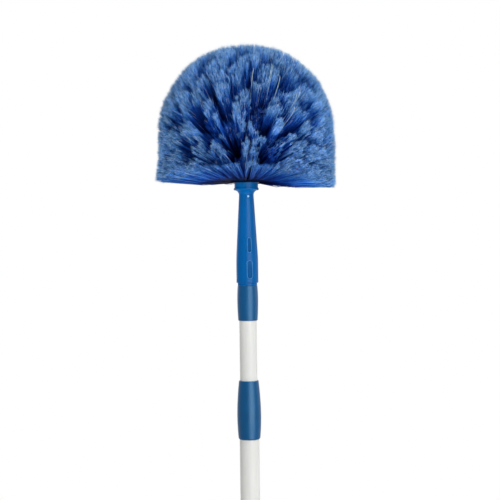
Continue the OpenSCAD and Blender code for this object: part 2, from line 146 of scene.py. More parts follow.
# %% [markdown]
# ## Where the tufts stand
# On the real brush each tuft is a bundle of plastic filaments punched into a domed block. The tufts
# stand in rows, each row turned half a step from the one below, and their tips are trimmed to one
# smooth outline: straight at the side and round at the top. Two such outlines, a small one for the
# block and a large one for the tips, give every root and every tip from the same share of length.

# %% Outlines of the block and of the brush
row_count = 14
block_radius, block_side = 0.016, 0.034
brush_radius, brush_side, brush_drop = 0.1146, 0.0690, 0.0055
side_shift = 0.0014
left_flare, flare_reach = 0.004, 0.12
tip_pitch = 0.0167
rim_lift, side_lift, side_lean, lift_reach = 0.018, 0.003, 0.006, 0.45
block_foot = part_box("socket")[1].z


def outline(share, side, radius, foot):
    """Radius and height of a brush-shaped outline at a share of its length.
    With a = share * (side + pi/2 * radius) and turn = max(a - side, 0) / radius, the point is
    (radius * cos(turn), foot + min(a, side) + radius * sin(turn))."""
    a = share * (side + math.pi / 2 * radius)
    turn = np.maximum(a - side, 0) / radius
    return radius * np.cos(turn), foot + np.minimum(a, side) + radius * np.sin(turn)


def row_share(row):
    """The middle of a row, as a share of the outline."""
    return (row + 0.5) / row_count


def around(radius, angle, height):
    """Points at radius, angle and height round the pole's axis."""
    return np.stack([radius * np.cos(angle), radius * np.sin(angle), height], -1)


def trimmed(share, angle):
    """Points of the trimmed surface, side_shift to the right. Its rim is lifted at the front and back, a
    little at the sides, and leans:
    outline + (1 - share / lift_reach)^2 * (rim_lift sin^2 + side_lift cos^2 - side_lean cos).
    Its lowest part sticks out by left_flare at the left."""
    radius, height = outline(share, brush_side, brush_radius, block_foot - brush_drop)
    low = np.maximum(1 - share / lift_reach, 0) ** 2
    lift = rim_lift * np.sin(angle) ** 2 + side_lift * np.cos(angle) ** 2 - side_lean * np.cos(angle)
    flare = left_flare * np.maximum(1 - share / flare_reach, 0) * np.maximum(-np.cos(angle), 0)
    return around(radius + flare, angle, height + low * lift) + np.array([side_shift, 0, 0])


def tuft_rows(rows):
    """Angle, share and root of each tuft of these rows. Tuft i of n stands at the angle
    2 pi / n * (i + 1/2 in odd rows)."""
    angles, shares, roots = [], [], []
    for row in rows:
        share = row_share(row)
        root_r, root_z = outline(share, block_side, block_radius, block_foot)
        widest = outline(share, brush_side, brush_radius, 0)[0]
        count = max(3, round(2 * math.pi * float(widest) / tip_pitch))
        angle = 2 * math.pi / count * (np.arange(count) + (row % 2) / 2)
        angles.append(angle)
        shares.append(np.full(count, share))
        roots.append(around(np.full(count, root_r), angle, np.full(count, root_z)))
    return np.concatenate(angles), np.concatenate(shares), np.concatenate(roots)


print("tufts:", sum(len(tuft_rows([row])[0]) for row in range(row_count)))

# %% [markdown]
# ## One filament, many times
# A filament could be a curve with a bevel, but 26 thousand of them need light, closed forms.
# So each is a three-sided tapering spike: a few triangular rings along a path and a point at its
# end. All spikes of a tuft row are computed together. The same form, shorter and finer, makes the
# split ends, which on the real brush are feathered so that they pick up dust and web.


# %% Spikes
def spikes(rings, points, radii):
    """Closed three-sided spikes. rings is (n, k, 3), the middles of k rings, points is (n, 3), the
    sharp ends, and radii is (n, k). Corner j of a ring lies at its middle
    + radius * (cos(2 pi j / 3) * a + sin(2 pi j / 3) * b), with a and b square to the spike."""
    n, k, _ = rings.shape
    axis = unit(points - rings[:, 0])
    helper = np.where(np.abs(axis[:, 2:]) > 0.8, [[1.0, 0, 0]], [[0, 0, 1.0]])
    a = unit(np.cross(helper, axis))
    b = np.cross(axis, a)
    turn = 2 * math.pi / 3 * np.arange(3)
    corner = np.cos(turn)[None, :, None] * a[:, None] + np.sin(turn)[None, :, None] * b[:, None]
    sides = rings[:, :, None] + radii[:, :, None, None] * corner[:, None]
    places = np.concatenate([sides.reshape(n, 3 * k, 3), points[:, None]], 1)

    j = np.arange(3)
    following = (j + 1) % 3
    foot = np.array([[0, 2, 1]])
    walls = [
        quads(low + j, low + following, low + 3 + following, low + 3 + j)
        for low in range(0, 3 * (k - 1), 3)
    ]
    top = 3 * (k - 1)
    end = np.stack([top + j, top + following, np.full(3, 3 * k)], -1)
    pattern = np.concatenate([foot, *walls, end])
    triangles = pattern[None] + (3 * k + 1) * np.arange(n)[:, None, None]
    return places.reshape(-1, 3), triangles.reshape(-1, 3)


sample = spikes(np.zeros((1, 3, 3)), np.ones((1, 3)), np.ones((1, 3)))
print("a spike of 3 rings has", len(sample[1]), "faces")

# %% [markdown]
# ## The spread of a tuft
# A tuft leaves its hole as a tight bundle and fans out until its neighbours stop it, and the ends are
# trimmed flush. Handling makes the ends cling together in small locks and in larger clumps, and
# leaves partings and hollows where one looks down on the dark shafts. A brush is laid down on its
# front or back, so most of that happens there, and the sides stay brushed out. So each filament
# gets a place on the trimmed surface near its tuft, moves towards the middles of its lock and its
# clump, and is pushed out of the partings; in a hollow it ends further in, and handled ends are the
# more ragged. The filament itself is a quadratic Bezier curve that starts along its tuft. Some
# filaments have broken and are short.

# %% Locks and clumps
jitter = 0.45


def spread_middles(pitch, rng):
    """Rows of points on the trimmed surface, a pitch apart, each moved by up to jitter * pitch along
    and across."""
    length = brush_side + math.pi / 2 * brush_radius
    rows = round(length / pitch)
    shares, angles = [], []
    for row in range(rows):
        share = (row + 0.5) / rows
        radius = float(outline(share, brush_side, brush_radius, 0)[0])
        count = max(3, round(2 * math.pi * radius / pitch))
        step = 2 * math.pi / count
        angles.append(step * (np.arange(count) + (row % 2) / 2 + rng.uniform(-jitter, jitter, count)))
        shares.append(share + rng.uniform(-jitter, jitter, count) / rows)
    return trimmed(np.concatenate(shares), np.concatenate(angles))


def nearest_middle(points, middles):
    """The number of the middle nearest to each point."""
    found = np.empty(len(points), int)
    for part in np.array_split(np.arange(len(points)), max(1, len(points) // 2000)):
        gap = ((points[part][:, None] - middles[None]) ** 2).sum(-1)
        found[part] = gap.argmin(1)
    return found


lock_rng = np.random.default_rng(9)
locks = spread_middles(0.005, lock_rng)
lock_pull = lock_rng.uniform(0.6, 0.9, len(locks))
lock_reach = 1 + lock_rng.normal(0, 0.005, len(locks))
lock_tone = lock_rng.uniform(0, 1, len(locks))
clump_rng = np.random.default_rng(33)
clumps = spread_middles(0.025, clump_rng)
clump_pull = clump_rng.uniform(0.15, 0.4, len(clumps))
clump_reach = 1 - np.abs(clump_rng.normal(0, 0.012, len(clumps)))
print("locks:", len(locks), "clumps:", len(clumps))

# %% Partings
parting_power = 0.4
front_partings = np.array([
    (-100, 0.245, 0.028), (-100, 0.160, 0.023), (-77, 0.123, 0.022), (-109, 0.082, 0.016),
    (-125, 0.187, 0.014), (-54, 0.305, 0.014), (-88, 0.358, 0.017), (-77, 0.280, 0.020),
    (-109, 0.375, 0.012), (-66, 0.418, 0.012), (-80, 0.522, 0.013), (-101, 0.576, 0.012),
    (-122, 0.512, 0.012),
])
parting_count = 120
parting_angle = np.concatenate([
    np.radians(front_partings[:, 0]), clump_rng.uniform(0, 2 * math.pi, parting_count)
])
parting_share = np.concatenate([front_partings[:, 1], clump_rng.uniform(0.06, 0.85, parting_count)])
parting_radius = np.concatenate([front_partings[:, 2], clump_rng.uniform(0.004, 0.008, parting_count)])
parting_middles = trimmed(parting_share, parting_angle)


def parted(points, strength):
    """Points pushed out of the partings: one at distance d from the middle of a parting of radius R,
    with d < R, moves straight out to R * (d / R) ** parting_power where the strength is 1."""
    for middle, radius in zip(parting_middles, parting_radius):
        away = points - middle
        gap = np.maximum(np.linalg.norm(away, axis=1), 1e-6)
        growth = np.where(gap < radius, (radius / gap) ** (1 - parting_power) - 1, 0)
        points = points + away * (strength * growth)[:, None]
    return points


print("partings:", len(parting_middles))

# %% Hollows
hollow_depth = 0.25
hollow_size = 0.035
hollow_from, hollow_to = 0.1, 0.7
handled_from, handled_to = 0.15, 0.75
flat_layer, flat_moved = 0.09, 0.2
wave_count = 16
wave_way = unit(clump_rng.normal(0, 1, (wave_count, 3))) * 2 * math.pi / hollow_size
wave_start = clump_rng.uniform(0, 2 * math.pi, wave_count)


def smooth_step(value, low, high):
    """0 below low, 1 above high, and x * x * (3 - 2 * x) between them."""
    x = np.clip((value - low) / (high - low), 0, 1)
    return x * x * (3 - 2 * x)


def hollows(points):
    """0 on the flush parts and 1 in the hollows, from a sum of waves that run in random directions:
    smooth_step(sum of sin(way . point + start) / sqrt(wave_count / 2), hollow_from, hollow_to)."""
    waves = np.sin(points @ wave_way.T + wave_start).sum(1) / math.sqrt(wave_count / 2)
    return smooth_step(waves, hollow_from, hollow_to)


def handled(points, shares):
    """How much handling has moved the ends: 1 at the front and back, 0 at the sides, and little in the
    lowest layer, which the others hold flat."""
    front = smooth_step(np.abs(points[:, 1]) / brush_radius, handled_from, handled_to)
    return front * np.clip(shares / flat_layer, flat_moved, 1)


side_share = 0.3
tried = trimmed(np.full(360, 0.3), np.radians(np.arange(360)))
print("share of hollows round the side:", round(float(hollows(tried).mean()), 2))


# %% Filaments of a tuft
filament_radius = 0.0003
flag_radius = 0.00023
fan_radius = 0.0097
split_ends = 5
short_share, short_least, short_most = 0.12, 0.04, 0.22
ragged, handled_ragged = 0.005, 0.018
sag, sag_reach = 0.010, 0.12
root_sunk, root_scatter, bend_scatter = 0.002, 0.0004, 0.0016
least_radius = 0.006
flag_least_t, flag_most_t = 0.86, 0.96
flag_least_lean, flag_most_lean = 0.05, 0.32
flag_short, flag_over = 0.014, 0.008


def bezier(start, bend, end, t):
    """Points (1-t)^2 start + 2t(1-t) bend + t^2 end for each t, as (n, len(t), 3)."""
    t = np.asarray(t)[None, :, None]
    return (1 - t) ** 2 * start[:, None] + 2 * t * (1 - t) * bend[:, None] + t**2 * end[:, None]


def filament_paths(rows, per_tuft, rng):
    """Start, bend and end of each filament, its lock and how much it is short. An end lies on the trimmed
    surface at the tuft's share and angle, moved over a disc of fan_radius, then drawn to its lock and
    clump and pushed out of the partings. The lowest filaments sag a little."""
    angle, share, root = tuft_rows(rows)
    of_tuft = np.repeat(np.arange(len(angle)), per_tuft)
    count = len(of_tuft)
    length = brush_side + math.pi / 2 * brush_radius
    tip = trimmed(share, angle)
    axis = unit(tip - root)[of_tuft]

    disc = fan_radius * np.sqrt(rng.uniform(0, 1, count))
    spin = rng.uniform(0, 2 * math.pi, count)
    radius = np.maximum(np.linalg.norm(tip[:, :2], axis=1), least_radius)[of_tuft]
    end_angle = angle[of_tuft] + disc * np.cos(spin) / radius
    end_share = np.maximum(share[of_tuft] + disc * np.sin(spin) / length, 0)
    end = trimmed(end_share, end_angle)
    lock, clump = nearest_middle(end, locks), nearest_middle(end, clumps)
    moved = handled(end, end_share)
    pulled = side_share + (1 - side_share) * moved
    end += (pulled * lock_pull[lock])[:, None] * (locks[lock] - end)
    end += (pulled * clump_pull[clump])[:, None] * (clumps[clump] - end)
    end = parted(end, moved)

    start = root[of_tuft] - root_sunk * axis + rng.normal(0, root_scatter, (count, 3))
    broken = rng.uniform(0, 1, count) < short_share
    short = np.where(broken, rng.uniform(short_least, short_most, count), 0)
    short += hollow_depth * moved * hollows(end)
    uneven = np.abs(rng.normal(0, 1, count)) * (ragged + handled_ragged * moved)
    back = lock_reach[lock] * clump_reach[clump] - uneven - short
    end = start + (end - start) * back[:, None]
    size = np.linalg.norm(end - start, axis=1, keepdims=True)
    bend = start + 0.5 * size * axis + rng.normal(0, bend_scatter, (count, 3))
    bend[:, 2] -= sag * np.maximum(1 - end_share / sag_reach, 0)
    return start, bend, end, lock, short


def flag_spikes(start, bend, end, rng):
    """Split ends: each leaves its filament near the end, 3 to 18 degrees off its way, and reaches about
    as far as the trimmed surface."""
    count = len(start)
    length = np.linalg.norm(end - start, axis=1)[:, None]
    along = unit(end - bend)
    parts = []
    for _ in range(split_ends):
        t = rng.uniform(flag_least_t, flag_most_t, count)[:, None]
        foot = (1 - t) ** 2 * start + 2 * t * (1 - t) * bend + t**2 * end
        lean = rng.normal(0, 1, (count, 3))
        lean = unit(lean - (lean * along).sum(1, keepdims=True) * along)
        way = unit(along + np.tan(rng.uniform(flag_least_lean, flag_most_lean, count))[:, None] * lean)
        reach = length * (1 - t + rng.uniform(-flag_short, flag_over, (count, 1)))
        parts.append(spikes(foot[:, None], foot + reach * way, np.full((count, 1), flag_radius)))
    return parts


# %% [markdown]
# ## The block under the tufts
# The frame's tuft nodes hide when the filaments replace them, and each of them also held a slice of
# the block. So each bristle piece carries that slice too: a profile turned round the pole's axis.

# %% Block slices
post_hole_radius = 0.00803
post_in_crown = 0.003
turn_steps = 48


def turned(profile, has_poles):
    """A closed solid of revolution. profile is (m, 2) of radius and height, counter-clockwise with the
    radius to the right; point i at turn t is (r cos t, r sin t, z). Where has_poles is true, the
    profile's first and last points lie on the axis and become one vertex each."""
    inner = profile[1:-1] if has_poles else profile
    turn = 2 * math.pi * np.arange(turn_steps) / turn_steps
    ring = np.stack([np.cos(turn), np.sin(turn)], -1)
    places = np.empty((len(inner), turn_steps, 3))
    places[..., :2] = inner[:, None, :1] * ring[None]
    places[..., 2] = inner[:, None, 1]
    points = places.reshape(-1, 3)

    k = np.arange(turn_steps)
    following = (k + 1) % turn_steps
    rows = np.arange(len(inner) - 1 if has_poles else len(inner))
    low = (rows * turn_steps)[:, None]
    high = ((rows + 1) % len(inner) * turn_steps)[:, None]
    faces = [quads(low + k, low + following, high + following, high + k)]
    if has_poles:
        first, last = len(points), len(points) + 1
        points = np.concatenate([points, [[0, 0, profile[0, 1]], [0, 0, profile[-1, 1]]]])
        top = (len(inner) - 1) * turn_steps
        faces.append(np.stack([np.full(turn_steps, first), following, k], -1))
        faces.append(np.stack([top + k, top + following, np.full(turn_steps, last)], -1))
    return points, np.concatenate(faces)


def block_slice(rows):
    """The slice of the block from the first to the last of these rows, bored for the core post."""
    shares = np.linspace(rows[0] / row_count, (rows[-1] + 1) / row_count, 3 * len(rows) + 1)
    radius, height = outline(shares, block_side, block_radius, block_foot)
    outer = np.stack([radius, height], -1)
    bottom = outer[0, 1]
    if rows[-1] == row_count - 1:
        ceiling = bottom + post_in_crown
        inner = [[0, ceiling], [post_hole_radius, ceiling], [post_hole_radius, bottom]]
        outer[-1, 0] = 0
        return turned(np.concatenate([inner, outer]), True)
    inner = [[post_hole_radius, outer[-1, 1]], [post_hole_radius, bottom]]
    return turned(np.concatenate([outer, inner]), False)


for rows in ([0, 1], [10, 11, 12, 13]):
    print("block slice of rows", rows, "faces:", len(block_slice(rows)[1]))

# %% [markdown]
# ## The bristle pieces
# One piece stands for each tuft node of the frame, on the same body, so the head still comes off the
# pole as one. Three numbers per point go to the material: how far along the filament it is, the
# tone of its lock and the tone of its strand. The lowest ring's strands are coloured pale further
# in, a painted light that lifts the shade under the head, and some of them are pale along most of
# their length.

# %% Grow the bristles
rings_of_rows = {
    "tuft_ring_1": [0, 1],
    "tuft_ring_2": [2, 3],
    "tuft_ring_3": [4, 5],
    "tuft_ring_4": [6, 7],
    "tuft_ring_5": [8, 9],
    "tuft_crown": [10, 11, 12, 13],
}
filaments_per_tuft = 60
shaft_rings = np.array([0, 0.5, 0.86])
shaft_taper = [1.0, 0.95, 0.8]
shaft_point = 0.97
flag_foot_tone, flag_scatter = 0.88, 0.15
pale_from, pale_power, painted_lift_power = 0.66, 0.2, 0.48


def bristle_piece(node, rows, seed):
    """All filaments and split ends of one tuft node, and its slice of the block, as one mesh."""
    rng = np.random.default_rng(seed)
    start, bend, end, lock, short = filament_paths(rows, filaments_per_tuft, rng)
    count = len(start)
    strand_tone = rng.uniform(0, 1, count)

    rings = bezier(start, bend, end, shaft_rings)
    point = bezier(start, bend, end, [shaft_point])[:, 0]
    radii = filament_radius * np.tile(shaft_taper, (count, 1))
    forms = [spikes(rings, point, radii)]
    per_shaft, per_flag = 3 * len(shaft_rings) + 1, 4
    # painted shade: a filament that ends short of the surface, in a hollow or broken, is coloured darker
    # along its whole length
    full = 1 - 0.5 * short[:, None]
    shown = np.concatenate([np.repeat(shaft_rings, 3), [shaft_point]])
    # painted light: the lowest ring is coloured paler further in, lifting the shade under the head; some of
    # its strands are pale along most of their length
    if node == "tuft_ring_1":
        shown = shown ** np.where(strand_tone > pale_from, pale_power, painted_lift_power)[:, None]
    along = [(full * shown).ravel()]
    tones = [np.repeat(lock_tone[lock], per_shaft)]
    strands = [np.repeat(strand_tone, per_shaft)]
    for form in flag_spikes(start, bend, end, rng):
        forms.append(form)
        along.append((full * np.array([flag_foot_tone] * 3 + [1.0])).ravel())
        tones.append(np.repeat(lock_tone[lock], per_flag))
        strands.append(np.repeat(np.clip(strand_tone + rng.normal(0, flag_scatter, count), 0, 1), per_flag))
    block = block_slice(rows)
    forms.append(block)
    # the block slice gets along 0, so it takes the ramp's near-black painted shade
    for values in (along, tones, strands):
        values.append(np.zeros(len(block[0])))

    shift = np.cumsum([0] + [len(points) for points, _ in forms[:-1]])
    points = np.concatenate([points for points, _ in forms])
    triangles = np.concatenate([faces + s for (_, faces), s in zip(forms, shift)])
    values = {
        "along": np.concatenate(along),
        "lock_tone": np.concatenate(tones),
        "strand_tone": np.concatenate(strands),
    }
    piece = mesh_piece(node.replace("tuft", "bristles"), points, triangles, values)
    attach(piece, "head")
    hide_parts(node)
    print(piece.name, "filaments:", count, "faces:", len(triangles))
    return piece


bristles = [bristle_piece(node, rows, 11 + i) for i, (node, rows) in enumerate(rings_of_rows.items())]

# %% [markdown]
# ## Loose strands
# A few pale strands lie over the others, most of them at the upper right of the front; their
# near-white colour is a painted glint. Each starts at the block, comes out of the brush a little
# below its end and then follows the surface.

# %% Lay the loose strands
loose_rng = np.random.default_rng(31)
loose_angle = np.radians(np.array([-72, -70.5, -67, -57, -54.5, -60, -84]))
loose_share = np.array([0.55, 0.60, 0.52, 0.43, 0.47, 0.36, 0.56])
loose_count = len(loose_angle)
loose_angle += loose_rng.normal(0, 0.01, loose_count)
loose_root = block_foot + 0.03
loose_start = around(np.full(loose_count, block_radius), loose_angle, np.full(loose_count, loose_root))
loose_end = trimmed(loose_share, loose_angle)
come_out = trimmed(
    loose_share - loose_rng.uniform(0.025, 0.045, loose_count),
    loose_angle - loose_rng.uniform(0.0, 0.03, loose_count),
)
out_t = 0.7
loose_bend = (
    come_out - (1 - out_t) ** 2 * loose_start - out_t**2 * loose_end
) / (2 * out_t * (1 - out_t))
loose_t = [0, 0.25, 0.45, 0.6, out_t, 0.8, 0.9]
loose_rings = bezier(loose_start, loose_bend, loose_end, loose_t)
loose_radii = np.full((loose_count, len(loose_t)), filament_radius)
loose_points, loose_faces = spikes(loose_rings, loose_end, loose_radii)
loose_strands = mesh_piece("bristles_loose", loose_points, loose_faces, {})
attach(loose_strands, "head")
print("loose strands:", loose_count, "faces:", len(loose_faces))

# %% [markdown]
# ## Tools for materials
# A finish is more than a colour: moulded plastic shows flow marks, powder coat shows an orange-peel
# texture, and edges get rubbed. Effects that several finishes share are node groups with named
# sockets. They put out masks, heights and colours, and each material keeps its own shader.


# %% Material helpers
def srgb(red, green, blue):
    """A colour given as 0 to 255 on a screen, as the linear colour that shaders use."""
    c = np.array([red, green, blue]) / 255
    linear = np.where(c <= 0.04045, c / 12.92, ((c + 0.055) / 1.055) ** 2.4)
    return (*linear.tolist(), 1.0)


def add_node(tree, kind, **settings):
    """A new node of a kind, with attributes set from the settings."""
    made = tree.nodes.new("ShaderNode" + kind)
    for key, value in settings.items():
        setattr(made, key, value)
    return made


def feed(tree, target, source):
    """Links a socket to an input, or sets the input to a number, vector or colour."""
    if isinstance(source, bpy.types.NodeSocket):
        tree.links.new(source, target)
    else:
        target.default_value = source


def feed_in_order(tree, made, *sources):
    """Feeds a node's first inputs and returns its first output."""
    for target, source in zip(made.inputs, sources):
        feed(tree, target, source)
    return made.outputs[0]


def maths(tree, operation, *values, kind="Math"):
    """The result of a Math or Vector Math node for sockets, numbers or vectors."""
    return feed_in_order(tree, add_node(tree, kind, operation=operation), *values)


def added(tree, first, second, share):
    """The first value plus a share of the second."""
    return maths(tree, "MULTIPLY_ADD", second, share, first)


def between(tree, value, low, high, from_low=0.0, from_high=1.0, curve="LINEAR"):
    """A value mapped to the range from low to high, in a straight line or as a smooth step."""
    mapped = add_node(tree, "MapRange", interpolation_type=curve)
    sources = {"Value": value, "From Min": from_low, "From Max": from_high, "To Min": low, "To Max": high}
    for key, source in sources.items():
        feed(tree, mapped.inputs[key], source)
    return mapped.outputs["Result"]


def coordinate(tree, place, axis):
    """One coordinate of a place."""
    parts = add_node(tree, "SeparateXYZ")
    feed(tree, parts.inputs[0], place)
    return parts.outputs[axis]


def from_axis(tree, place):
    """The distance of a place from the pole's axis."""
    length = add_node(tree, "VectorMath", operation="LENGTH")
    feed(tree, length.inputs[0], maths(tree, "MULTIPLY", place, (1, 1, 0), kind="VectorMath"))
    return length.outputs["Value"]


def noise(tree, place, scale, detail):
    """Noise of a scale and a detail at a place."""
    made = add_node(tree, "TexNoise")
    for key, source in (("Vector", place), ("Scale", scale), ("Detail", detail)):
        feed(tree, made.inputs[key], source)
    return made.outputs["Fac"]


def mix_colors(tree, factor, first, second):
    """The first colour where the factor is 0, and the second where it is 1."""
    mix = add_node(tree, "Mix", data_type="RGBA")
    feed(tree, mix.inputs[0], factor)
    feed(tree, mix.inputs[6], first)
    feed(tree, mix.inputs[7], second)
    return mix.outputs[2]


def mix_shaders(tree, factor, first, second):
    """The first shader where the factor is 0, and the second where it is 1."""
    return feed_in_order(tree, add_node(tree, "MixShader"), factor, first, second)


def new_group(name, inputs, outputs):
    """An empty node group with named sockets: (name, kind, default) for each input."""
    group = bpy.data.node_groups.new(name, "ShaderNodeTree")
    for title, kind, default in inputs:
        socket = group.interface.new_socket(name=title, in_out="INPUT", socket_type="NodeSocket" + kind)
        if default is not None:
            socket.default_value = default
    for title, kind in outputs:
        group.interface.new_socket(name=title, in_out="OUTPUT", socket_type="NodeSocket" + kind)
    entry = group.nodes.new("NodeGroupInput")
    leave = group.nodes.new("NodeGroupOutput")
    return group, entry.outputs, leave.inputs


def use_group(tree, group, **values):
    """Places a group in a material; value names are its input names with _ for a space."""
    placed = tree.nodes.new("ShaderNodeGroup")
    placed.node_tree = group
    for key, value in values.items():
        feed(tree, placed.inputs[key.replace("_", " ")], value)
    return placed.outputs


print("half grey on a screen is", round(srgb(128, 128, 128)[0], 3), "in linear light")

# %% Node group: fine grain
mask_middle = 0.5
grain_detail = 3
grain_group, came, goes = new_group(
    "fine grain",
    [("Vector", "Vector", None), ("Scale", "Float", 500.0), ("Stretch", "Vector", (1, 1, 1)),
     ("Contrast", "Float", 0.3)],
    [("Mask", "Float"), ("Height", "Float")],
)
stretched = maths(grain_group, "MULTIPLY", came["Vector"], came["Stretch"], kind="VectorMath")
rough = noise(grain_group, stretched, came["Scale"], grain_detail)
low_end = maths(grain_group, "SUBTRACT", mask_middle, came["Contrast"])
high_end = maths(grain_group, "ADD", mask_middle, came["Contrast"])
sharpened = between(grain_group, rough, 0.0, 1.0, low_end, high_end, "SMOOTHSTEP")
feed(grain_group, goes["Mask"], sharpened)
feed(grain_group, goes["Height"], rough)
print("group", grain_group.name, "nodes:", len(grain_group.nodes))

# %% Node group: tone
tone_group, came, goes = new_group(
    "tone",
    [("Color", "Color", None), ("Mask", "Float", 0.5), ("Spread", "Float", 0.2)],
    [("Color", "Color")],
)
centred = maths(tone_group, "SUBTRACT", came["Mask"], mask_middle)
brightness = maths(tone_group, "MULTIPLY_ADD", centred, came["Spread"], 1.0)
shaded = add_node(tone_group, "HueSaturation")
feed(tone_group, shaded.inputs["Value"], brightness)
feed(tone_group, shaded.inputs["Color"], came["Color"])
feed(tone_group, goes["Color"], shaded.outputs["Color"])
print("group", tone_group.name, "nodes:", len(tone_group.nodes))

# %% [markdown]
# Rubbed edges, and the pale edges that the blue plastics get as a painted highlight, sit at known
# heights on turned pieces, so a mask by height, broken up by noise, finds them without baking. It
# also works on any copy of the piece, whatever its mesh density.

# %% Node group: rubbed and lit edges
chip_scale, chip_detail = 420, 4
rub_and_light_group, came, goes = new_group(
    "rubbed and lit edges",
    [("Vector", "Vector", None), ("Low Edge", "Float", 0.0), ("High Edge", "Float", 1.0),
     ("Width", "Float", 0.002)],
    [("Mask", "Float")],
)
up_pole = coordinate(rub_and_light_group, came["Vector"], "Z")
from_low = maths(rub_and_light_group, "SUBTRACT", up_pole, came["Low Edge"])
from_high = maths(rub_and_light_group, "SUBTRACT", came["High Edge"], up_pole)
nearest = maths(rub_and_light_group, "MINIMUM", from_low, from_high)
chips = noise(rub_and_light_group, came["Vector"], chip_scale, chip_detail)
ragged_width = maths(rub_and_light_group, "MULTIPLY", came["Width"], chips)
near_edge = between(rub_and_light_group, nearest, 1.0, 0.0, 0.0, ragged_width, "SMOOTHSTEP")
feed(rub_and_light_group, goes["Mask"], near_edge)
print("group", rub_and_light_group.name, "nodes:", len(rub_and_light_group.nodes))


# %% Finish helpers
def new_material(name):
    """A material with its Principled shader, and the piece's own coordinates."""
    material = bpy.data.materials.new(name)
    material.use_nodes = True
    tree = material.node_tree
    place = add_node(tree, "TexCoord").outputs["Object"]
    return material, tree, tree.nodes["Principled BSDF"], place


def grain(tree, place, scale, contrast=0.3, stretch=(1, 1, 1)):
    """Mask and height of the fine grain at a scale."""
    return use_group(tree, grain_group, Vector=place, Scale=scale, Stretch=stretch, Contrast=contrast)


def toned(tree, colour, mask, spread):
    """A colour made darker and lighter by a mask."""
    return use_group(tree, tone_group, Color=colour, Mask=mask, Spread=spread)[0]


def rubbed_and_lit(tree, place, colour, edges, width, share, worn_and_lit):
    """A colour that turns to a worn and lit one by up to a share at its lower and upper edge, and the mask;
    on the blue plastics the pale edge is partly a painted highlight.
    """
    low, high = edges
    rub_and_light = use_group(tree, rub_and_light_group, Vector=place, Low_Edge=low, High_Edge=high, Width=width)["Mask"]
    return mix_colors(tree, between(tree, rub_and_light, 0.0, share), colour, worn_and_lit), rub_and_light


def set_finish(tree, shader, colour, dull, height, strength, distance):
    """Feeds the shader a colour, a roughness, and a height as bump of a strength and distance."""
    feed(tree, shader.inputs["Base Color"], colour)
    feed(tree, shader.inputs["Roughness"], dull)
    made = add_node(tree, "Bump")
    made.inputs["Strength"].default_value = strength
    made.inputs["Distance"].default_value = distance
    feed(tree, made.inputs["Height"], height)
    feed(tree, shader.inputs["Normal"], made.outputs["Normal"])


print("node groups:", len(bpy.data.node_groups))

# %% [markdown]
# ## The bristle finish
# The filaments are blue through. Their colour runs from a near-black blue where they crowd at the
# block, a painted shade for the light they don't get, through clear blue along the shafts, to pale
# at the feathered ends, where each strand is too fine to hold much colour and the paleness also
# stands in as painted light for light scattered through the clear plastic. The number along each
# filament drives that ramp, and locks and strands differ in tone.


# %% Bristle material
def bristle_material():
    """Blue filaments, darkened towards the block as painted shade, with pale feathered ends that are partly
    painted light.
    """
    material, tree, shader, place = new_material("blue bristles")
    along, lock, strand = (
        add_node(tree, "Attribute", attribute_name=name).outputs["Fac"]
        for name in ("along", "lock_tone", "strand_tone")
    )
    ramp = add_node(tree, "ValToRGB")
    # painted shade and light: the low stops darken the filaments to near black towards the block; the top
    # stops are pale partly as painted light for light scattered in the fine ends
    stops = [
        (0.0, srgb(3, 6, 26)),
        (0.35, srgb(6, 16, 60)),
        (0.65, srgb(15, 44, 126)),
        (0.86, srgb(30, 90, 196)),
        (0.93, srgb(78, 146, 224)),
        (1.0, srgb(156, 204, 244)),
    ]
    while len(ramp.color_ramp.elements) < len(stops):
        ramp.color_ramp.elements.new(0.5)
    for element, (position, colour) in zip(ramp.color_ramp.elements, stops):
        element.position = position
        element.color = colour
    feed(tree, ramp.inputs["Fac"], along)
    colour = toned(tree, ramp.outputs["Color"], lock, 0.45)
    colour = toned(tree, colour, strand, 0.6)
    colour = toned(tree, colour, grain(tree, place, 26.0, 0.2)["Mask"], 0.3)
    # painted glint: a few strands are mixed towards near white to stand in for their highlights
    glint = between(tree, strand, 0.0, 0.7, 0.985, 0.999)
    colour = mix_colors(tree, glint, colour, srgb(205, 222, 236))
    fine = grain(tree, place, 2400.0)["Height"]
    set_finish(tree, shader, colour, between(tree, along, 0.36, 0.6), fine, 0.15, 0.0001)
    shader.inputs["Specular IOR Level"].default_value = 0.1
    shader.inputs["Specular Tint"].default_value = srgb(120, 170, 240)
    return material


def glint_strand_material():
    """Near-white filament, coloured as a painted glint, a little darker in places."""
    material, tree, shader, place = new_material("strands with painted glint")
    patches = grain(tree, place, 160.0, 0.2)["Mask"]
    # painted glint: the near-white colour stands in for the strands' highlight
    colour = mix_colors(tree, patches, srgb(216, 250, 248), srgb(198, 232, 234))
    fine = grain(tree, place, 2400.0)["Height"]
    set_finish(tree, shader, colour, between(tree, patches, 0.22, 0.4), fine, 0.12, 0.0001)
    return material


loose_strands.data.materials.append(glint_strand_material())
bristle_finish = bristle_material()
for piece in bristles:
    piece.data.materials.append(bristle_finish)
print("bristle pieces dressed:", len(bristles))

# %% [markdown]
# ## Moulded plastics
# The socket and the pole tip are glossy polypropylene: smooth, with faint flow marks along the
# mould and a thin parting line at each side. The floors of the socket's slots are eroded dull and
# coloured darker as painted shade. The collar, grip and end cap are softer to the touch and dull,
# with a fine sparked texture that scatters light, so that their broad highlight is a little blue.
# Both rub paler at their edges, and that pale edge is also a painted highlight.


# %% Plastic materials
socket = frame["nodes"]["socket"]
socket_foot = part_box("socket")[0].z
skin_height = np.array([0.004, 0.058])
skin_angle = math.radians(-130)
ray_start = 0.03
sunk_from, sunk_to = 0.0004, 0.0006


